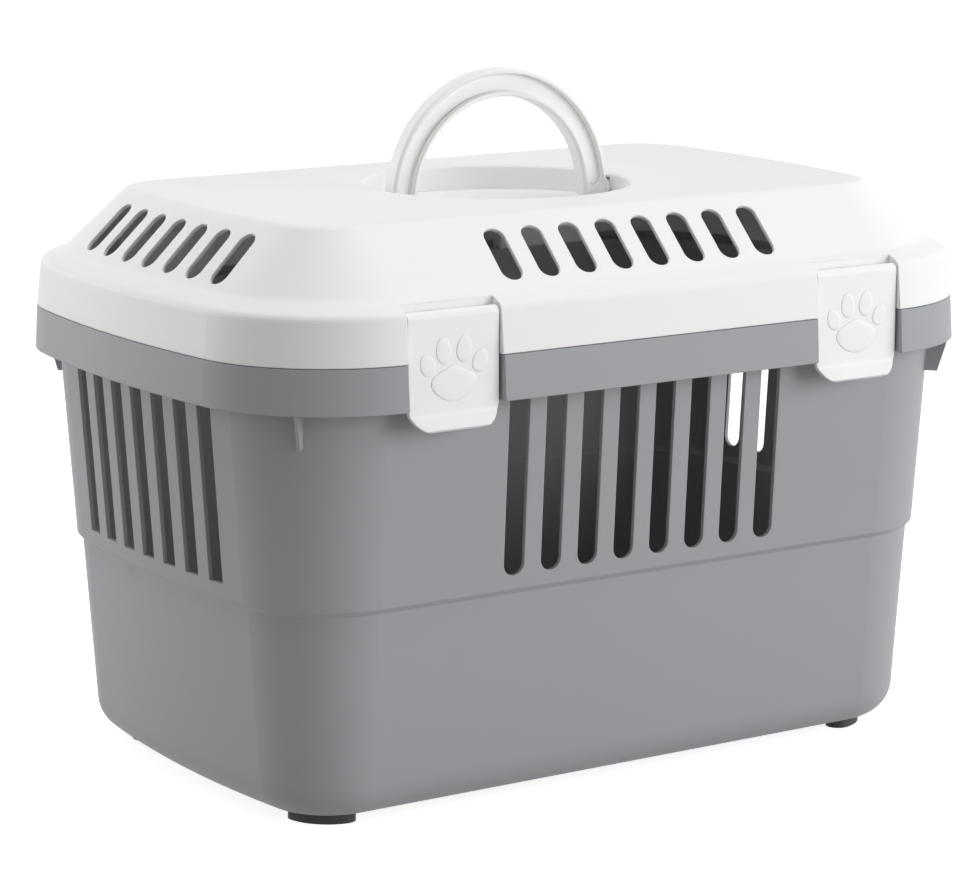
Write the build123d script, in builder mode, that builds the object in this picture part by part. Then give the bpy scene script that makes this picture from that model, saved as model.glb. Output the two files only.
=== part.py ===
from build123d import *
from math import atan2, cos, degrees, pi, radians, sin, sqrt, tan
import os

# Small pet carrier: a moulded tub on four feet, a lift-off lid with a round well for a folding
# bail handle, and four clips that hinge on the lid and hook under the tub's rim.
# Millimetres, +Z up, origin on the floor under the middle. The length runs along X.

os.makedirs("parts", exist_ok=True)

# Rim of the tub, the widest outline of the carrier
rim_length = 490
rim_width = 330
rim_corner = 83
rim_end_radius = 757.5
rim_bottom = 229
rim_top = 253
rim_draft = 3.4
rim_wall = 2.2

# Tub wall: how far the rim stands out from it, its slope, and the step half way up
rim_end_overhang = 12.5
rim_side_overhang = 15
rim_corner_overhang = 19
tub_draft = 3.8
tub_wall = 2.4
step_height = 122
step_inset = 3.1
floor_height = 5.5
floor_wall = 3
floor_round = 20
inner_floor_flats = 3

# Upstand on the rim that keeps the lid in place
upstand_wall = 2
upstand_rise = 4
upstand_gap = 0.5

# Webs under the rim at the four corners
web_wall = 2
web_angle = 48
web_bottom = 210
web_low_reach = 7.5
web_high_reach = 12

# Lid
lid_gap = 0.4
lid_wall = 2
lid_draft = 6
shoulder_height = 279
ledge_width = 14
ledge_rise = 6
slope_angle = 43.6
plateau_height = 318
shoulder_round = 5
shoulder_flats = 3
inner_shoulder_flats = 1
slope_foot_round = 8
plateau_round = 6

# Ventilation slots, on one pitch all round
slot_pitch = 23.4
slot_width = 12.8
side_slots = 8
end_slots = 7
tub_slot_low = 129.7
tub_slot_high = 241
lid_slot_length = 34.4
lid_slot_height = 299.6

# Round well in the lid for the folded handle
well_radius = 75
well_depth = 14
well_wall = 2
well_lip_bevel = 1.2

# Bail handle, a half ring of I section on two pins
handle_radius = 71.4
handle_depth = 15.4
handle_wall = 11
handle_flange = 2.8
handle_recess = 3.8
handle_recess_start = 6
handle_bevel = 1.2
handle_floor_gap = 0.5
handle_side_gap = 0.8
handle_collar_radius = 4.2
handle_pin_radius = 3.5
handle_pin_gap = 0.06
handle_pin_reach = 6
handle_boss_reach = 7
handle_boss_radius = 7
handle_entry_width = 5
handle_entry_rise = 5.4

# Clips, and the pockets in the lid that they turn in
clip_spacing = 261.2
clip_width = 54.8
clip_wall = 2.5
clip_setback = 4.4
clip_bend_height = 225
clip_lip_flare = 4.5
clip_lip_drop = 7
clip_corner = 14
clip_bend_round = 5
barrel_radius = 3.6
barrel_height = 275
barrel_gap = 0.6
clip_pin_radius = 2
clip_pin_gap = 0.06
pocket_side_gap = 0.8
pocket_wall = 2.2

# Notch in the rim under each clip, and the catch that the clip's hook goes under
notch_side_gap = 1.6
catch_setback = 8
catch_wall = 2.2
catch_angle = 48
hook_width = 42
hook_gap = 0.3
hook_bite = 1.8
hook_tip = 0.9
hook_brace = 2.5

# Feet: soft arc-shaped pads, each with a barbed tongue that is pushed through the floor
foot_arc_radius = 20.5
foot_arc_angle = 70
foot_width = 13.5
foot_tongue_length = 16
foot_tongue_wall = 5
foot_tongue_gap = 0.05
foot_barb_reach = 1.2
foot_barb_height = 2

# How far a cut runs past the face that it opens
cut_margin = 1
half_turn = 180
quarter_turn = 90

rim_outline = (rim_length, rim_width, rim_corner, rim_end_radius)
tub_corner = rim_corner - rim_corner_overhang
tub_outline = (
    rim_length - 2 * rim_end_overhang,
    rim_width - 2 * rim_side_overhang,
    tub_corner,
    rim_end_radius - rim_end_overhang,
)


def corner_centre(length, width, corner, end_radius):
    """Centre of the corner arc that touches a straight side and a bowed end."""
    across = width / 2 - corner
    along = length / 2 - end_radius + sqrt((end_radius - corner) ** 2 - across**2)
    return along, across


def bowed_outline(length, width, corner, end_radius, inset=0):
    """Rounded rectangle with straight sides and bowed ends, drawn inset by an even distance."""
    corner_x, corner_y = corner_centre(length, width, corner, end_radius)
    half_length = length / 2 - inset
    half_width = width / 2 - inset
    lean = atan2(corner_y, corner_x - length / 2 + end_radius)
    middle = (lean + pi / 2) / 2
    touch_x = length / 2 - end_radius + (end_radius - inset) * cos(lean)
    touch_y = (end_radius - inset) * sin(lean)
    bend_x = corner_x + (corner - inset) * cos(middle)
    bend_y = corner_y + (corner - inset) * sin(middle)
    with BuildSketch() as outline:
        with BuildLine():
            Line((-corner_x, half_width), (corner_x, half_width))
            Line((-corner_x, -half_width), (corner_x, -half_width))
            for x in (1, -1):
                ThreePointArc((x * touch_x, touch_y), (x * half_length, 0), (x * touch_x, -touch_y))
                for y in (1, -1):
                    ThreePointArc(
                        (x * corner_x, y * half_width),
                        (x * bend_x, y * bend_y),
                        (x * touch_x, y * touch_y),
                    )
        make_face()
    return outline.sketch


def layered_form(outline, profile):
    """Solid with sloping walls all round; the profile lists (inset, height) from the bottom up."""
    with BuildPart() as form:
        for (low_inset, low), (high_inset, high) in zip(profile, profile[1:]):
            with BuildSketch(Plane.XY.offset(high)):
                add(bowed_outline(*outline, high_inset))
            extrude(amount=low - high, taper=degrees(atan2(low_inset - high_inset, high - low)))
    return form.part


def inner_profile(profile, wall, bottom, top):
    """The same profile one wall further in, cut off at the given bottom and top."""
    slopes = [atan2(high[1] - low[1], high[0] - low[0]) for low, high in zip(profile, profile[1:])]
    inset, height = profile[0]
    inner = [(inset + wall / sin(slopes[0]) + (bottom - height) / tan(slopes[0]), bottom)]
    for (inset, height), below, above in zip(profile[1:-1], slopes, slopes[1:]):
        share = wall / (1 + cos(below - above))
        inward = share * (sin(below) + sin(above))
        down = share * (cos(below) + cos(above))
        inner.append((inset + inward, height - down))
    inset, height = profile[-1]
    inner.append((inset + wall / sin(slopes[-1]) + (top - height) / tan(slopes[-1]), top))
    return inner


def eased_corner(before, corner, after, radius, flats):
    """Points of a round in a profile's corner, drawn as a few flats between its two ends."""
    corner = Vector(*corner)
    toward_before = (Vector(*before) - corner).normalized()
    toward_after = (Vector(*after) - corner).normalized()
    half_opening = radians(toward_before.get_angle(toward_after)) / 2
    start = corner + toward_before * (radius / tan(half_opening))
    centre = corner + (toward_before + toward_after).normalized() * (radius / sin(half_opening))
    turn = half_turn - 2 * degrees(half_opening)
    if toward_before.cross(toward_after).Z > 0:
        turn = -turn
    spokes = [(start - centre).rotate(Axis.Z, turn * step / flats) for step in range(flats + 1)]
    return [((centre + spoke).X, (centre + spoke).Y) for spoke in spokes]


def level_edges(part, height):
    """Edges of a part that lie level at the given height."""
    return part.edges().filter_by_position(Axis.Z, height - 0.01, height + 0.01)


def slot_planes(outline, inset, height, tilt):
    """Planes at the middle of every slot, square to a wall that faces up by the tilt."""
    length, width, corner, end_radius = outline
    bow_centre = length / 2 - end_radius
    planes = []
    for side in (1, -1):
        for number in range(side_slots):
            along = (number - (side_slots - 1) / 2) * slot_pitch
            middle = (along, side * (width / 2 - inset), height)
            facing = (0, side * cos(tilt), sin(tilt))
            planes.append(Plane(middle, x_dir=(1, 0, 0), z_dir=facing))
        for number in range(end_slots):
            turn = (number - (end_slots - 1) / 2) * slot_pitch / (end_radius - inset)
            out = bow_centre + (end_radius - inset) * cos(turn)
            middle = (side * out, side * (end_radius - inset) * sin(turn), height)
            facing = (side * cos(turn) * cos(tilt), side * sin(turn) * cos(tilt), sin(tilt))
            planes.append(Plane(middle, x_dir=(-sin(turn), cos(turn), 0), z_dir=facing))
    return planes


# Profiles of the tub, its rim and the lid, from the bottom up
tub_lean = tan(radians(tub_draft))
step_bottom = step_height - step_inset
above_step_inset = (rim_top - step_height) * tub_lean
below_step_inset = above_step_inset + step_inset
tub_foot_inset = below_step_inset + (step_bottom - floor_height) * tub_lean
tub_profile = [
    (tub_foot_inset, floor_height),
    (below_step_inset, step_bottom),
    (above_step_inset, step_height),
    (0, rim_top),
]
floor_top = floor_height + floor_wall
tub_hollow_profile = inner_profile(tub_profile, tub_wall, floor_top, rim_top + cut_margin)
floor_line_end = (tub_hollow_profile[0][0] + floor_round, floor_top)
floor_corner = (floor_line_end, *tub_hollow_profile[:2])
inner_floor_round = eased_corner(*floor_corner, floor_round - tub_wall, inner_floor_flats)
tub_hollow_profile = inner_floor_round + tub_hollow_profile[1:]

rim_top_inset = (rim_top - rim_bottom) * tan(radians(rim_draft))
rim_profile = [(0, rim_bottom), (rim_top_inset, rim_top)]
rim_hollow_profile = inner_profile(
    rim_profile, rim_wall, rim_bottom - cut_margin, rim_top - rim_wall
)

lid_bottom = rim_top + lid_gap
shoulder_inset = rim_top_inset + (shoulder_height - lid_bottom) * tan(radians(lid_draft))
slope_foot_inset = shoulder_inset + ledge_width
slope_foot_height = shoulder_height + ledge_rise
slope_lean = 1 / tan(radians(slope_angle))
plateau_inset = slope_foot_inset + (plateau_height - slope_foot_height) * slope_lean
lid_profile = [
    (rim_top_inset, lid_bottom),
    (shoulder_inset, shoulder_height),
    (slope_foot_inset, slope_foot_height),
    (plateau_inset, plateau_height),
]
lid_hollow_profile = inner_profile(
    lid_profile, lid_wall, lid_bottom - cut_margin, plateau_height - lid_wall
)
inner_round = shoulder_round - lid_wall
inner_shoulder = eased_corner(*lid_hollow_profile[:3], inner_round, inner_shoulder_flats)
lid_hollow_profile = lid_hollow_profile[:1] + inner_shoulder + lid_hollow_profile[2:]
outer_shoulder = eased_corner(*lid_profile[:3], shoulder_round, shoulder_flats)
lid_profile = lid_profile[:1] + outer_shoulder + lid_profile[2:]

# Places shared by the clips, the lid's pockets and the rim's notches
clip_face = rim_width / 2 - clip_setback
barrel_out = clip_face - barrel_radius
pocket_back = barrel_out - barrel_radius - barrel_gap
pocket_half = clip_width / 2 + pocket_side_gap
notch_half = clip_width / 2 + notch_side_gap
catch_face = rim_width / 2 - catch_setback
catch_rise = catch_wall * tan(radians(catch_angle))
sides = [(x * clip_spacing / 2, y) for x in (1, -1) for y in (1, -1)]

# Places shared by the feet and the tub's floor
foot_centre_x, foot_centre_y = corner_centre(*tub_outline)
diagonal = 45
up = Vector(0, 0, 1)


def corner_turn(x, y):
    """Angle that turns the rear right corner's foot into the corner with these signs."""
    return degrees(atan2(y, x)) - diagonal


# Tub
with BuildPart() as rim_form:
    add(layered_form(rim_outline, rim_profile))

with BuildPart() as tub_wall_form:
    add(layered_form(tub_outline, tub_profile))
    fillet(level_edges(tub_wall_form, floor_height), radius=floor_round)

with BuildPart() as catches:
    for x, side in sides:
        with Locations((x, side * (catch_face - catch_wall), rim_bottom)):
            Box(
                2 * (notch_half + catch_wall),
                rim_width / 2,
                rim_top - rim_bottom,
                align=(Align.CENTER, Align.MIN if side > 0 else Align.MAX, Align.MIN),
            )
    add(rim_form.part, mode=Mode.INTERSECT)

with BuildPart() as upstand:
    upstand_inset = rim_top_inset + lid_wall + upstand_gap
    with BuildSketch(Plane.XY.offset(rim_top)):
        add(bowed_outline(*rim_outline, upstand_inset))
        add(bowed_outline(*rim_outline, upstand_inset + upstand_wall), mode=Mode.SUBTRACT)
        with Locations(*[(x, side * rim_width / 2) for x, side in sides]):
            Rectangle(
                2 * (pocket_half + pocket_wall + upstand_gap),
                rim_width / 2,
                mode=Mode.SUBTRACT,
            )
    extrude(amount=upstand_rise)

with BuildPart() as base_tub:
    add(rim_form.part)
    add(layered_form(rim_outline, rim_hollow_profile), mode=Mode.SUBTRACT)
    add(tub_wall_form.part)
    add(catches.part)
    add(upstand.part)

    # Webs under the rim at the corners
    for x in (1, -1):
        for y in (1, -1):
            outward = Vector(x * cos(radians(web_angle)), y * sin(radians(web_angle)), 0)
            centre = (x * foot_centre_x, y * foot_centre_y, 0)
            web_plane = Plane(centre, x_dir=outward, z_dir=outward.cross(up))
            with BuildSketch(web_plane):
                with BuildLine():
                    root_low = tub_corner - (rim_top - web_bottom) * tub_lean
                    root_high = tub_corner - (rim_top - rim_bottom) * tub_lean
                    Polyline(
                        (root_low - tub_wall / 2, web_bottom),
                        (root_low + web_low_reach, web_bottom),
                        (root_high + web_high_reach, rim_bottom),
                        (root_high + web_high_reach, rim_top - rim_wall / 2),
                        (tub_corner - tub_wall / 2, rim_top - rim_wall / 2),
                        close=True,
                    )
                make_face()
            extrude(amount=web_wall / 2, both=True)

    add(layered_form(tub_outline, tub_hollow_profile), mode=Mode.SUBTRACT)

    # Notches for the clips, with the slanted underside that the hook goes under
    for x, side in sides:
        notch_plane = Plane((x, 0, 0), x_dir=(0, side, 0), z_dir=(side, 0, 0))
        with BuildSketch(notch_plane):
            with BuildLine():
                Polyline(
                    (catch_face - catch_wall, rim_bottom - cut_margin),
                    (catch_face - catch_wall, rim_bottom),
                    (catch_face, rim_bottom + catch_rise),
                    (catch_face, rim_top + upstand_rise + cut_margin),
                    (rim_width / 2 + cut_margin, rim_top + upstand_rise + cut_margin),
                    (rim_width / 2 + cut_margin, rim_bottom - cut_margin),
                    close=True,
                )
            make_face()
        extrude(amount=notch_half, both=True, mode=Mode.SUBTRACT)

    # Ventilation slots, square at the top where the rim's skirt hides them
    slot_middle = (tub_slot_low + tub_slot_high) / 2
    slot_rise = tub_slot_high - tub_slot_low
    slot_inset = (rim_top - slot_middle) * tub_lean
    with BuildSketch(*slot_planes(tub_outline, slot_inset, slot_middle, 0)):
        SlotOverall(slot_rise, slot_width, rotation=quarter_turn)
        Rectangle(slot_width, slot_rise / 2, align=(Align.CENTER, Align.MIN))
    slot_cut = tub_wall + slot_rise / 2 * tub_lean + cut_margin
    extrude(amount=slot_cut, both=True, mode=Mode.SUBTRACT)

    # Slots for the feet's tongues
    for x in (1, -1):
        for y in (1, -1):
            corner = (x * foot_centre_x, y * foot_centre_y, floor_height)
            with Locations(Location(corner, (0, 0, corner_turn(x, y)))):
                with PolarLocations(foot_arc_radius, 1, diagonal):
                    Box(foot_tongue_wall, foot_tongue_length, 3 * floor_wall, mode=Mode.SUBTRACT)

base_tub.part.label = "base_tub"
export_step(base_tub.part, "parts/base_tub.step")

# Lid
with BuildPart() as lid_form:
    add(layered_form(rim_outline, lid_profile))
    fillet(level_edges(lid_form, slope_foot_height), radius=slope_foot_round)
    fillet(level_edges(lid_form, plateau_height), radius=plateau_round)

with BuildPart() as pocket_blocks:
    for x, side in sides:
        with Locations((x, side * (pocket_back - pocket_wall), lid_bottom)):
            Box(
                2 * (pocket_half + pocket_wall),
                rim_width / 2,
                plateau_height - lid_bottom,
                align=(Align.CENTER, Align.MIN if side > 0 else Align.MAX, Align.MIN),
            )
    add(lid_form.part, mode=Mode.INTERSECT)

well_floor = plateau_height - well_depth
pivot_height = well_floor + handle_floor_gap + handle_wall / 2


def pivot_planes(reach):
    """Planes that face outward on both ends of the handle's pivot axis."""
    return [
        Plane((side * reach, 0, pivot_height), x_dir=(0, side, 0), z_dir=(side, 0, 0))
        for side in (1, -1)
    ]


with BuildPart() as lid:
    add(lid_form.part)
    add(layered_form(rim_outline, lid_hollow_profile), mode=Mode.SUBTRACT)
    add(pocket_blocks.part)

    # Feet of the pocket walls, which the lid stands on
    for x, side in sides:
        with Locations((x, side * (pocket_back - pocket_wall / 2), rim_top)):
            Box(
                2 * (pocket_half + pocket_wall),
                pocket_wall,
                shoulder_height - rim_top,
                align=(Align.CENTER, Align.CENTER, Align.MIN),
            )

    # Well for the handle, with a boss behind its wall at each end of the pivot axis
    with BuildSketch(Plane.XY.offset(well_floor - well_wall)):
        Circle(well_radius + well_wall)
    extrude(amount=well_depth + well_wall - lid_wall / 2)
    with BuildSketch(*pivot_planes(well_radius + well_wall / 2)):
        Circle(handle_boss_radius)
    extrude(amount=handle_pin_reach)
    with BuildSketch(Plane.XY.offset(well_floor)):
        Circle(well_radius)
    extrude(amount=well_depth + cut_margin, mode=Mode.SUBTRACT)
    well_edges = edges().filter_by(GeomType.CIRCLE).filter_by(
        lambda edge: abs(edge.radius - well_radius) < 0.01
    )
    chamfer(well_edges.group_by(Axis.Z)[-1], length=well_lip_bevel)

    # Bores for the handle's pins, open upward so that the pins snap in
    with BuildSketch(*pivot_planes(handle_radius)):
        Circle(handle_pin_radius + handle_pin_gap)
    extrude(amount=well_radius - handle_radius + handle_boss_reach, mode=Mode.SUBTRACT)
    for side in (1, -1):
        with Locations((side * handle_radius, 0, pivot_height)):
            Box(
                well_radius - handle_radius + handle_boss_reach,
                handle_entry_width,
                handle_entry_rise,
                align=(Align.MIN if side > 0 else Align.MAX, Align.CENTER, Align.MIN),
                mode=Mode.SUBTRACT,
            )

    # Pockets that the clips turn in, open above and below
    for x, side in sides:
        with Locations((x, side * pocket_back, rim_top - cut_margin)):
            Box(
                2 * pocket_half,
                rim_width / 2,
                plateau_height - rim_top,
                align=(Align.CENTER, Align.MIN if side > 0 else Align.MAX, Align.MIN),
                mode=Mode.SUBTRACT,
            )
        pin_plane = Plane((x, side * barrel_out, barrel_height), z_dir=(1, 0, 0))
        with BuildSketch(pin_plane):
            Circle(clip_pin_radius + clip_pin_gap)
        extrude(amount=pocket_half + pocket_wall, both=True, mode=Mode.SUBTRACT)

    # Ventilation slots, square to the slope
    slot_inset = slope_foot_inset + (lid_slot_height - slope_foot_height) * slope_lean
    slope_tilt = pi / 2 - radians(slope_angle)
    with BuildSketch(*slot_planes(rim_outline, slot_inset, lid_slot_height, slope_tilt)):
        SlotOverall(lid_slot_length, slot_width, rotation=quarter_turn)
    extrude(amount=2 * lid_wall, both=True, mode=Mode.SUBTRACT)

lid.part.label = "lid"
export_step(lid.part, "parts/lid.step")

# Handle
recess_line = CenterArc(
    (0, 0),
    handle_radius - handle_depth / 2,
    handle_recess_start,
    half_turn - 2 * handle_recess_start,
)

with BuildPart() as handle:
    with BuildSketch(Plane.XZ):
        with Locations((0, pivot_height)):
            Circle(handle_radius)
            Circle(handle_radius - handle_depth, mode=Mode.SUBTRACT)
            Rectangle(
                2 * handle_radius,
                handle_radius,
                align=(Align.CENTER, Align.MAX),
                mode=Mode.SUBTRACT,
            )
    extrude(amount=handle_wall / 2, both=True)

    # Rounded ends of the two legs
    with BuildSketch(*pivot_planes(handle_radius)):
        Circle(handle_wall / 2)
        Rectangle(
            handle_wall,
            handle_wall,
            align=(Align.CENTER, Align.MIN),
            mode=Mode.SUBTRACT,
        )
    extrude(amount=-handle_depth)
    chamfer(edges().filter_by(GeomType.CIRCLE), length=handle_bevel)

    # Recess in both faces, which leaves a web between two flanges
    for side in (1, -1):
        face_middle = (0, side * handle_wall / 2, pivot_height)
        with BuildSketch(Plane(face_middle, x_dir=(-side, 0, 0), z_dir=(0, side, 0))):
            SlotArc(recess_line, handle_depth - 2 * handle_flange)
        extrude(amount=-handle_recess, mode=Mode.SUBTRACT)

    # Collars beside the wall of the well, and the pins in its bores
    with BuildSketch(*pivot_planes(handle_radius - handle_bevel)):
        Circle(handle_collar_radius)
    extrude(amount=well_radius - handle_radius + handle_bevel - handle_side_gap)
    with BuildSketch(*pivot_planes(handle_radius)):
        Circle(handle_pin_radius)
    extrude(amount=well_radius - handle_radius + handle_pin_reach)

handle.part.label = "handle"
export_step(handle.part, "parts/handle.step")

# Clip, drawn at the middle of the rear side and then placed four times
clip_back = clip_face - clip_wall
lip_turn = atan2(clip_lip_flare, clip_lip_drop)
lip_front = clip_bend_height - clip_lip_drop
lip_back = lip_front - clip_wall * sin(lip_turn)
back_bend = clip_bend_height - clip_wall * tan(lip_turn / 2)
hook_slope = tan(radians(catch_angle))
hook_end = catch_face - hook_bite
hook_root = clip_back + clip_wall / 2


def hook_top(out):
    """Height of the hook's slanted top, parallel to the underside of the catch."""
    gap = hook_gap / cos(radians(catch_angle))
    return rim_bottom + (out - catch_face + catch_wall) * hook_slope - gap


with BuildPart() as clip_front_view:
    with BuildSketch(Plane.XZ):
        with Locations((0, lip_back)):
            Rectangle(clip_width, barrel_height - lip_back, align=(Align.CENTER, Align.MIN))
        fillet(vertices().group_by(Axis.Y)[0], radius=clip_corner)
    extrude(amount=-rim_width)

with BuildPart() as clip:
    # Plate with a flared lip
    with BuildSketch(Plane.YZ):
        with BuildLine():
            Polyline(
                (clip_face, barrel_height),
                (clip_face, clip_bend_height),
                (clip_face + clip_lip_flare, lip_front),
                (clip_face + clip_lip_flare - clip_wall * cos(lip_turn), lip_back),
                (clip_back, back_bend),
                (clip_back, barrel_height),
                close=True,
            )
        make_face()
    extrude(amount=clip_width / 2, both=True)
    fillet(level_edges(clip, clip_bend_height), radius=clip_bend_round)
    fillet(level_edges(clip, back_bend), radius=clip_bend_round + clip_wall)
    add(clip_front_view.part, mode=Mode.INTERSECT)

    # Rolled top, and the pins at its ends
    with BuildSketch(Plane.YZ):
        with Locations((barrel_out, barrel_height)):
            Circle(barrel_radius)
    extrude(amount=clip_width / 2, both=True)
    with BuildSketch(Plane.YZ):
        with Locations((barrel_out, barrel_height)):
            Circle(clip_pin_radius)
    extrude(amount=pocket_half + pocket_wall, both=True)

    # Hook behind the plate
    with BuildSketch(Plane.YZ):
        with BuildLine():
            Polyline(
                (hook_root, hook_top(hook_root)),
                (hook_end, hook_top(hook_end)),
                (hook_end, hook_top(hook_end) - hook_tip),
                (hook_root, hook_top(hook_end) - hook_tip - hook_brace),
                close=True,
            )
        make_face()
    extrude(amount=hook_width / 2, both=True)

clip_places = {
    "clip_front_left": (-clip_spacing / 2, half_turn),
    "clip_front_right": (clip_spacing / 2, half_turn),
    "clip_rear_left": (-clip_spacing / 2, 0),
    "clip_rear_right": (clip_spacing / 2, 0),
}
for name, (along, turn) in clip_places.items():
    with BuildPart() as placed_clip:
        with Locations(Location((along, 0, 0), (0, 0, turn))):
            add(clip.part)
    placed_clip.part.label = name
    export_step(placed_clip.part, f"parts/{name}.step")

# Foot, drawn about the corner arc's centre and then placed in the four corners
foot_line = CenterArc(
    (0, 0),
    foot_arc_radius,
    diagonal - foot_arc_angle / 2,
    foot_arc_angle,
)

with BuildPart() as foot:
    with BuildSketch(Plane.XY.offset(floor_height)):
        SlotArc(foot_line, foot_width)
    extrude(amount=-floor_height)

    # Tongue, with barbs that hold the foot in the floor
    tongue_half = foot_tongue_wall / 2 - foot_tongue_gap
    tongue_top = floor_top + foot_barb_height
    outward = Vector(cos(radians(diagonal)), sin(radians(diagonal)), 0)
    with BuildSketch(Plane(outward * foot_arc_radius, x_dir=outward, z_dir=outward.cross(up))):
        with BuildLine():
            Polyline(
                (-tongue_half, floor_height - cut_margin),
                (tongue_half, floor_height - cut_margin),
                (tongue_half, floor_top),
                (tongue_half + foot_barb_reach, floor_top),
                (tongue_half - foot_barb_reach, tongue_top),
                (foot_barb_reach - tongue_half, tongue_top),
                (-tongue_half - foot_barb_reach, floor_top),
                (-tongue_half, floor_top),
                close=True,
            )
        make_face()
    extrude(amount=foot_tongue_length / 2 - foot_tongue_gap, both=True)

foot_places = {
    "foot_front_left": (-1, -1),
    "foot_front_right": (1, -1),
    "foot_rear_left": (-1, 1),
    "foot_rear_right": (1, 1),
}
for name, (x, y) in foot_places.items():
    corner = (x * foot_centre_x, y * foot_centre_y, 0)
    with BuildPart() as placed_foot:
        with Locations(Location(corner, (0, 0, corner_turn(x, y)))):
            add(foot.part)
    placed_foot.part.label = name
    export_step(placed_foot.part, f"parts/{name}.step")
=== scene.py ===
from math import cos, exp, pi, radians, sin

import bmesh
import bpy
from mathutils import Matrix, Vector


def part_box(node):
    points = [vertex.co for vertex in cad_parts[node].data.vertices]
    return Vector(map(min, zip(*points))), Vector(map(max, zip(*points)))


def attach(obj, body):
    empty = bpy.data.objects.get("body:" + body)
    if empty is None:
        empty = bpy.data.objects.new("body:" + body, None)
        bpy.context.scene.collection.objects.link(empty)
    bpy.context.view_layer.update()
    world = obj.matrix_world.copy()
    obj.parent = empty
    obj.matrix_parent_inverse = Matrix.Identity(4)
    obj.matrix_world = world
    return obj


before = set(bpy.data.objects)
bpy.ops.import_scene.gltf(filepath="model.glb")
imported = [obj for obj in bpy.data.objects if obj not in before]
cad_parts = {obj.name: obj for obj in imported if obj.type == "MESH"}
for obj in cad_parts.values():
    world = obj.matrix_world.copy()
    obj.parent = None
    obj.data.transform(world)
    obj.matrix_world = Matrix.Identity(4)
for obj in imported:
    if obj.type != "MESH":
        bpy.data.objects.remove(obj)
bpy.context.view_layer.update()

# Small pet carrier: a satin grey tub on black rubber feet, with a semi-gloss white lid, bail
# handle and clips. Metres, +Z up, with the long side that the photograph shows facing -Y.

# The photograph's viewpoint: left of the front and a little above the rim
camera_turn = radians(-33.0)
camera_rise = radians(12.07)
camera_distance = 2.0138
camera_aim = Vector((0, 0, 0.148))
camera_sidestep = 0.0012
camera_lens = 130.55
camera_sensor = 36
camera_shift = (-0.0151, 0.0373)

# Surround and floor: how bright they are as lights, and how much of the floor glows where it is seen
ambient_colour = (1, 0.995, 0.985, 1)
ambient_strength = 0.28
floor_size = 12
floor_grey = (0.6, 0.6, 0.6, 1)
floor_glow = 0.85
white = (1, 1, 1, 1)

# Raised paw print on each clip, as heights over the clip's outer face and places on it
clip_face = 0.1606
paw_middle_height = 0.240
paw_relief = 0.0003
paw_root = 0.0004
paw_points = 56
# Shoulder of each lump, as shares of its outline and of its relief, from the foot to the flat top
paw_rings = ((1, 0), (0.96, 0.28), (0.9, 0.6), (0.83, 0.84), (0.74, 0.96), (0.6, 1), (0.3, 1.02))
# Pad and toes: place across, place up, half width, half height and lean in degrees
paw_pad = (0, 0, 0.0138, 0.0086, 0)
paw_toes = [
    (-0.0062, 0.0182, 0.0047, 0.0071, 6),
    (0.0062, 0.0182, 0.0047, 0.0071, -6),
    (-0.0158, 0.0112, 0.0046, 0.0061, 22),
    (0.0158, 0.0112, 0.0046, 0.0061, -22),
]
toe_narrowing = 0.12
pad_narrowing = 0.16
pad_crown_rise = 0.2
pad_crown_width = 0.34
pad_shoulder_drop = 0.08

# House dust, and the factor and colour sockets of a colour mix
dust_colour = (0.62, 0.6, 0.57)
mix_factor, mix_under, mix_over, mix_result = 0, 6, 7, 2


# Camera and lamps
def outward(turn, rise):
    """Direction from the carrier that turns from the front, -Y, and rises above the floor."""
    return Vector((sin(turn) * cos(rise), -cos(turn) * cos(rise), sin(rise)))


def place_camera():
    """Sets the camera on its sphere round the carrier, looking at the middle of its height."""
    right = Vector((cos(camera_turn), sin(camera_turn), 0))
    back = outward(camera_turn, camera_rise)
    up = back.cross(right)
    camera = bpy.data.objects.new("camera", bpy.data.cameras.new("camera"))
    bpy.context.scene.collection.objects.link(camera)
    turn = Matrix((right, up, back)).transposed().to_4x4()
    place = camera_aim + right * camera_sidestep + back * camera_distance
    camera.matrix_world = Matrix.Translation(place) @ turn
    camera.data.lens = camera_lens
    camera.data.sensor_width = camera_sensor
    camera.data.shift_x, camera.data.shift_y = camera_shift
    bpy.context.scene.camera = camera


def add_lamp(name, turn, rise, distance, width, height, power):
    """Soft rectangular lamp that faces the carrier from the given direction, in degrees."""
    back = outward(radians(turn), radians(rise))
    light = bpy.data.lights.new(name, "AREA")
    light.shape = "RECTANGLE"
    light.size = width
    light.size_y = height
    light.energy = power
    lamp = bpy.data.objects.new(name, light)
    bpy.context.scene.collection.objects.link(lamp)
    lamp.rotation_mode = "QUATERNION"
    lamp.location = camera_aim + back * distance
    lamp.rotation_quaternion = (-back).to_track_quat("-Z", "Y")


place_camera()
bpy.context.scene.view_settings.view_transform = "Standard"
add_lamp("right_softbox", turn=42, rise=7, distance=2.6, width=2.4, height=1.9, power=61)
add_lamp("left_softbox", turn=-144, rise=5, distance=2.6, width=1.9, height=1.4, power=30.5)
add_lamp("top_softbox", turn=-100, rise=80, distance=2.0, width=1.8, height=1.4, power=21)


# Shader nodes
def add_node(tree, kind, inputs=None, **settings):
    """New node; each input is linked to the given output, or set to the given plain value."""
    node = tree.nodes.new(kind)
    for name, value in settings.items():
        setattr(node, name, value)
    for name, value in (inputs or {}).items():
        if isinstance(value, bpy.types.NodeSocket):
            tree.links.new(value, node.inputs[name])
        else:
            node.inputs[name].default_value = value
    return node


def worked_out(tree, operation, first, second, clamped=False):
    """Result of one sum on two values, each of them an output or a plain number."""
    node = add_node(
        tree, "ShaderNodeMath", {0: first, 1: second}, operation=operation, use_clamp=clamped
    )
    return node.outputs[0]


def scaled(tree, value, low, high):
    """Maps a zero-to-one value on to the given range."""
    node = add_node(tree, "ShaderNodeMapRange", {"Value": value, "To Min": low, "To Max": high})
    return node.outputs["Result"]


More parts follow.
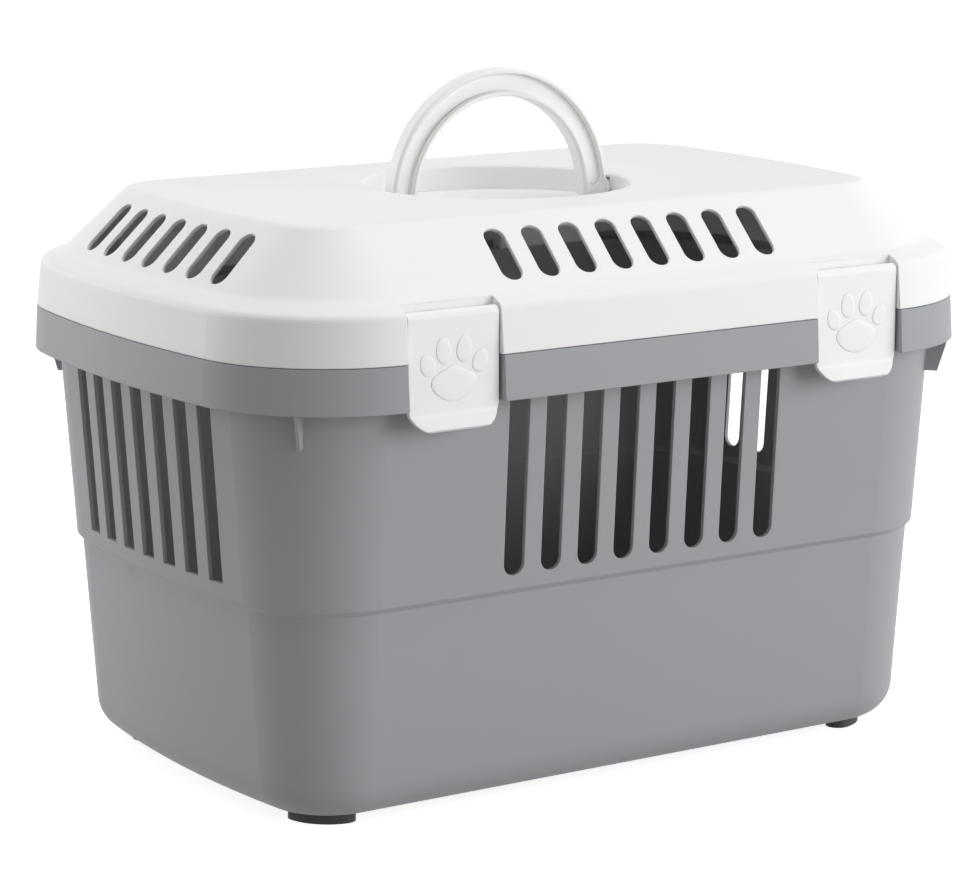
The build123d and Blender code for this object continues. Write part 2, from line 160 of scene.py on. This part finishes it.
def blend_colour(tree, mask, under, over):
    """Mixes one colour, or one output, over another by a mask."""
    mix = add_node(tree, "ShaderNodeMix", {mix_factor: mask}, data_type="RGBA")
    for socket, colour in ((mix_under, under), (mix_over, over)):
        if isinstance(colour, tuple):
            mix.inputs[socket].default_value = (*colour, 1)
        else:
            tree.links.new(colour, mix.inputs[socket])
    return mix.outputs[mix_result]


def seen_directly(tree):
    """Share of a ray that the camera sees, straight or through a reflection or clear glass."""
    path = add_node(tree, "ShaderNodeLightPath")
    seen = path.outputs["Is Camera Ray"]
    for kind in ("Is Glossy Ray", "Is Transmission Ray"):
        seen = worked_out(tree, "MAXIMUM", seen, path.outputs[kind])
    return seen


# Studio: a white surround and one pale floor
def white_world():
    """White surround: plain white to the camera and in reflections, softer as a light."""
    world = bpy.data.worlds.new("surround")
    bpy.context.scene.world = world
    world.use_nodes = True
    tree = world.node_tree
    tree.nodes.clear()
    ambient = add_node(
        tree, "ShaderNodeBackground", {"Color": ambient_colour, "Strength": ambient_strength}
    )
    shown = add_node(tree, "ShaderNodeBackground", {"Color": white, "Strength": 1})
    mix = add_node(
        tree,
        "ShaderNodeMixShader",
        {"Fac": seen_directly(tree), 1: ambient.outputs[0], 2: shown.outputs[0]},
    )
    add_node(tree, "ShaderNodeOutputWorld", {"Surface": mix.outputs[0]})


def floor_finish():
    """Matt pale floor that shows as white away from the carrier's own shadow."""
    material = bpy.data.materials.new("floor_white")
    material.use_nodes = True
    tree = material.node_tree
    tree.nodes.clear()
    matt = add_node(tree, "ShaderNodeBsdfDiffuse", {"Color": floor_grey})
    lift = worked_out(tree, "MULTIPLY", seen_directly(tree), floor_glow)
    glow = add_node(tree, "ShaderNodeEmission", {"Color": white, "Strength": lift})
    both = add_node(tree, "ShaderNodeAddShader", {0: matt.outputs[0], 1: glow.outputs[0]})
    add_node(tree, "ShaderNodeOutputMaterial", {"Surface": both.outputs[0]})
    return material


white_world()
bpy.ops.mesh.primitive_plane_add(size=floor_size, location=(0, 0, 0))
floor = bpy.context.object
floor.name = "floor"
floor.data.materials.append(floor_finish())


# Surface effects shared by the carrier's finishes
def new_group(name, inputs, outputs):
    """Empty shader group with float inputs (name, value) and outputs (name, socket type)."""
    group = bpy.data.node_groups.new(name, "ShaderNodeTree")
    for label, value in inputs:
        socket = group.interface.new_socket(label, in_out="INPUT", socket_type="NodeSocketFloat")
        socket.default_value = value
    for label, kind in outputs:
        group.interface.new_socket(label, in_out="OUTPUT", socket_type=kind)
    return group, group.nodes.new("NodeGroupInput"), group.nodes.new("NodeGroupOutput")


def moulded_grain():
    """Spark-eroded mould texture: a fine pebbled height, and slow blotches from the cooling."""
    group, given, put = new_group(
        "moulded_grain",
        [("Grain Scale", 700), ("Blotch Scale", 9)],
        [("Height", "NodeSocketFloat"), ("Blotches", "NodeSocketFloat")],
    )
    place = add_node(group, "ShaderNodeTexCoord").outputs["Object"]
    pebbles = add_node(
        group,
        "ShaderNodeTexNoise",
        {"Vector": place, "Scale": given.outputs["Grain Scale"], "Detail": 3},
    )
    blotches = add_node(
        group,
        "ShaderNodeTexNoise",
        {
            "Vector": place,
            "Scale": given.outputs["Blotch Scale"],
            "Detail": 4,
            "Roughness": 0.6,
        },
    )
    group.links.new(pebbles.outputs["Fac"], put.inputs["Height"])
    group.links.new(blotches.outputs["Fac"], put.inputs["Blotches"])
    return group


def eased_edges():
    """Rounds off the moulding's sharp edges in the shading, and masks where they are."""
    group, given, put = new_group(
        "eased_edges",
        [("Radius", 0.0008), ("Gain", 3)],
        [("Normal", "NodeSocketVector"), ("Edge", "NodeSocketFloat")],
    )
    bevel = add_node(
        group, "ShaderNodeBevel", {"Radius": given.outputs["Radius"]}, samples=6
    )
    surface = add_node(group, "ShaderNodeNewGeometry")
    agree = add_node(
        group,
        "ShaderNodeVectorMath",
        {0: bevel.outputs["Normal"], 1: surface.outputs["Normal"]},
        operation="DOT_PRODUCT",
    )
    away = worked_out(group, "SUBTRACT", 1, agree.outputs["Value"])
    mask = worked_out(group, "MULTIPLY", away, given.outputs["Gain"], clamped=True)
    group.links.new(bevel.outputs["Normal"], put.inputs["Normal"])
    group.links.new(mask, put.inputs["Edge"])
    return group


def handling_marks():
    """Sparse hairline scuffs, drawn out along one direction, with clean stretches between."""
    group, given, put = new_group(
        "handling_marks",
        [("Scale", 60), ("Coverage", 0.35)],
        [("Scuffs", "NodeSocketFloat")],
    )
    place = add_node(group, "ShaderNodeTexCoord").outputs["Object"]
    stretch = add_node(
        group,
        "ShaderNodeMapping",
        {"Vector": place, "Rotation": (0.3, 0.5, 0.9), "Scale": (0.12, 1, 1)},
    )
    lines = add_node(
        group,
        "ShaderNodeTexNoise",
        {"Vector": stretch.outputs["Vector"], "Scale": given.outputs["Scale"], "Detail": 6},
    )
    thin = add_node(
        group,
        "ShaderNodeMapRange",
        {"Value": lines.outputs["Fac"], "From Min": 0.66, "From Max": 0.74},
    )
    patches = add_node(group, "ShaderNodeTexNoise", {"Vector": place, "Scale": 7})
    worn = worked_out(group, "LESS_THAN", patches.outputs["Fac"], given.outputs["Coverage"])
    scuffs = worked_out(group, "MULTIPLY", thin.outputs["Result"], worn)
    group.links.new(scuffs, put.inputs["Scuffs"])
    return group


def settled_dust():
    """A thin uneven bloom on whatever faces upward."""
    group, given, put = new_group(
        "settled_dust", [("Amount", 0.2)], [("Dust", "NodeSocketFloat")]
    )
    surface = add_node(group, "ShaderNodeNewGeometry")
    facing = add_node(group, "ShaderNodeSeparateXYZ", {"Vector": surface.outputs["Normal"]})
    upward = add_node(
        group, "ShaderNodeMapRange", {"Value": facing.outputs["Z"], "From Min": 0.5}
    )
    place = add_node(group, "ShaderNodeTexCoord").outputs["Object"]
    drift = add_node(group, "ShaderNodeTexNoise", {"Vector": place, "Scale": 16, "Detail": 5})
    uneven = worked_out(group, "MULTIPLY", upward.outputs["Result"], drift.outputs["Fac"])
    dust = worked_out(group, "MULTIPLY", uneven, given.outputs["Amount"])
    group.links.new(dust, put.inputs["Dust"])
    return group


grain_group = moulded_grain()
edge_group = eased_edges()
scuff_group = handling_marks()
dust_group = settled_dust()


def use_group(tree, group, **values):
    """Places a shared effect in a material with this finish's own values."""
    node = add_node(tree, "ShaderNodeGroup", node_tree=group)
    for name, value in values.items():
        node.inputs[name.replace("_", " ")].default_value = value
    return node


# Finishes
def new_finish(name):
    """Material with its node tree and its Principled shader."""
    material = bpy.data.materials.new(name)
    material.use_nodes = True
    tree = material.node_tree
    return material, tree, tree.nodes["Principled BSDF"]


def grained_normal(tree, shader, texture, edges, strength, depth):
    """Lays the mould's grain over the eased edges as the surface's normal."""
    bump = add_node(
        tree,
        "ShaderNodeBump",
        {
            "Height": texture.outputs["Height"],
            "Normal": edges.outputs["Normal"],
            "Strength": strength,
            "Distance": depth,
        },
    )
    tree.links.new(bump.outputs["Normal"], shader.inputs["Normal"])


def plastic(
    name, colour, faded, edge_highlight_and_wear_colour, roughness, specular, grain_scale, grain_strength,
    edge_radius, dust,
):
    """Injection-moulded finish: grain, slow blotches, edges lightened as a painted highlight with a
    little wear, scuffs and dust.
    """
    material, tree, shader = new_finish(name)
    shader.inputs["Specular IOR Level"].default_value = specular
    texture = use_group(tree, grain_group, Grain_Scale=grain_scale, Blotch_Scale=9)
    edges = use_group(tree, edge_group, Radius=edge_radius, Gain=3)
    marks = use_group(tree, scuff_group, Scale=60, Coverage=0.42)
    bloom = use_group(tree, dust_group, Amount=dust).outputs["Dust"]

    blotches = scaled(tree, texture.outputs["Blotches"], -0.2, 1.2)
    tone = blend_colour(tree, blotches, colour, faded)
    # Edges lightened towards the edge colour: a painted highlight along the rounded edges, with a
    # little wear. The scuffs below take the same lighter colour as wear.
    edge_highlight_and_wear_share = scaled(tree, edges.outputs["Edge"], 0, 0.5)
    tone = blend_colour(tree, edge_highlight_and_wear_share, tone, edge_highlight_and_wear_colour)
    mark_share = scaled(tree, marks.outputs["Scuffs"], 0, 0.25)
    tone = blend_colour(tree, mark_share, tone, edge_highlight_and_wear_colour)
    tone = blend_colour(tree, bloom, tone, dust_colour)
    tree.links.new(tone, shader.inputs["Base Color"])

    gloss = scaled(tree, blotches, roughness - 0.03, roughness + 0.04)
    worn = worked_out(tree, "ADD", gloss, mark_share)
    dusty = worked_out(tree, "ADD", worn, bloom, clamped=True)
    tree.links.new(dusty, shader.inputs["Roughness"])
    grained_normal(tree, shader, texture, edges, grain_strength, 0.0002)
    return material


def soft_rubber():
    """Dull black rubber with grey scuffs and slightly greyed edges."""
    material, tree, shader = new_finish("foot_rubber")
    texture = use_group(tree, grain_group, Grain_Scale=1100, Blotch_Scale=40)
    edges = use_group(tree, edge_group, Radius=0.0012, Gain=2)
    marks = use_group(tree, scuff_group, Scale=90, Coverage=0.5)
    blotches = texture.outputs["Blotches"]
    tone = blend_colour(tree, blotches, (0.018, 0.018, 0.019), (0.04, 0.04, 0.041))
    # Edges greyed: a painted highlight along the rounded edges, with a little wear.
    tone = blend_colour(tree, edges.outputs["Edge"], tone, (0.07, 0.07, 0.072))
    mark_share = scaled(tree, marks.outputs["Scuffs"], 0, 0.5)
    tone = blend_colour(tree, mark_share, tone, (0.12, 0.118, 0.115))
    tree.links.new(tone, shader.inputs["Base Color"])
    tree.links.new(scaled(tree, blotches, 0.55, 0.75), shader.inputs["Roughness"])
    grained_normal(tree, shader, texture, edges, 0.35, 0.0003)
    return material


tub_grey = plastic(
    "tub_plastic",
    colour=(0.352, 0.361, 0.379),
    faded=(0.366, 0.375, 0.394),
    edge_highlight_and_wear_colour=(0.455, 0.461, 0.478),
    roughness=0.5,
    specular=0.22,
    grain_scale=800,
    grain_strength=0.1,
    edge_radius=0.0008,
    dust=0.08,
)
lid_white = plastic(
    "lid_plastic",
    colour=(0.89, 0.889, 0.885),
    faded=(0.9, 0.899, 0.895),
    edge_highlight_and_wear_colour=(0.91, 0.91, 0.907),
    roughness=0.45,
    specular=0.22,
    grain_scale=900,
    grain_strength=0.05,
    edge_radius=0.0012,
    dust=0.06,
)
handle_white = plastic(
    "handle_plastic",
    colour=(0.895, 0.89, 0.876),
    faded=(0.905, 0.9, 0.886),
    edge_highlight_and_wear_colour=(0.915, 0.912, 0.902),
    roughness=0.45,
    specular=0.2,
    grain_scale=900,
    grain_strength=0.05,
    edge_radius=0.0018,
    dust=0.04,
)
clip_white = plastic(
    "clip_plastic",
    colour=(0.915, 0.915, 0.915),
    faded=(0.922, 0.922, 0.922),
    edge_highlight_and_wear_colour=(0.93, 0.93, 0.93),
    roughness=0.4,
    specular=0.3,
    grain_scale=900,
    grain_strength=0.04,
    edge_radius=0.0009,
    dust=0.04,
)

finishes = {
    "base_tub": tub_grey,
    "lid": lid_white,
    "handle": handle_white,
    "clip": clip_white,
    "foot": soft_rubber(),
}
for name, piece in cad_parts.items():
    kind = name if name in finishes else name.split("_")[0]
    piece.data.materials.clear()
    piece.data.materials.append(finishes[kind])


# Paw print: one broad pad and four toes, with flat tops and soft shoulders
def toe_outline(angle):
    """Point on a toe's unit outline, a little narrower at its upper end."""
    return cos(angle) * (1 - toe_narrowing * sin(angle)), sin(angle)


def pad_outline(angle):
    """Point on the pad's unit outline: broad shoulders, a low crown and a narrower heel."""
    across = cos(angle) * (1 + pad_narrowing * sin(angle))
    bump = exp(-((across / pad_crown_width) ** 2)) if sin(angle) > 0 else 0
    return across, sin(angle) * (1 - pad_shoulder_drop * cos(angle) ** 2) + pad_crown_rise * bump


def add_cushion(mesh, outline, place, lay):
    """Low flat-topped lump with soft shoulders, closed by a back that sits inside the clip."""
    across, rise, half_width, half_height, lean = place
    lean = radians(lean)
    loops = []
    levels = [(1, -paw_root / paw_relief), *paw_rings]
    for share, level in levels:
        loop = []
        for number in range(paw_points):
            x, z = outline(2 * pi * number / paw_points)
            x, z = x * half_width * share, z * half_height * share
            turned = (x * cos(lean) - z * sin(lean), x * sin(lean) + z * cos(lean))
            loop.append(mesh.verts.new(lay(across + turned[0], rise + turned[1], level)))
        loops.append(loop)
    for low, high in zip(loops, loops[1:]):
        for number in range(paw_points):
            after = (number + 1) % paw_points
            mesh.faces.new((low[number], low[after], high[after], high[number]))
    mesh.faces.new(loops[-1])
    mesh.faces.new(reversed(loops[0]))


def add_paw(clip):
    """Puts the print on the outer face of one clip, and lets it ride on that clip."""
    low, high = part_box(clip)
    middle = (low.x + high.x) / 2
    side = 1 if low.y > 0 else -1
    face = side * clip_face

    def lay(across, rise, level):
        """Point over the clip's face, with a share of the relief as its level."""
        depth = face + side * level * paw_relief
        return middle - side * across, depth, paw_middle_height + rise

    mesh = bmesh.new()
    add_cushion(mesh, pad_outline, paw_pad, lay)
    for toe in paw_toes:
        add_cushion(mesh, toe_outline, toe, lay)
    bmesh.ops.recalc_face_normals(mesh, faces=mesh.faces)
    name = clip.replace("clip", "paw")
    data = bpy.data.meshes.new(name)
    mesh.to_mesh(data)
    mesh.free()
    data.polygons.foreach_set("use_smooth", [True] * len(data.polygons))
    data.materials.append(clip_white)
    paw = bpy.data.objects.new(name, data)
    bpy.context.scene.collection.objects.link(paw)
    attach(paw, clip)


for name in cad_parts:
    if name.startswith("clip"):
        add_paw(name)
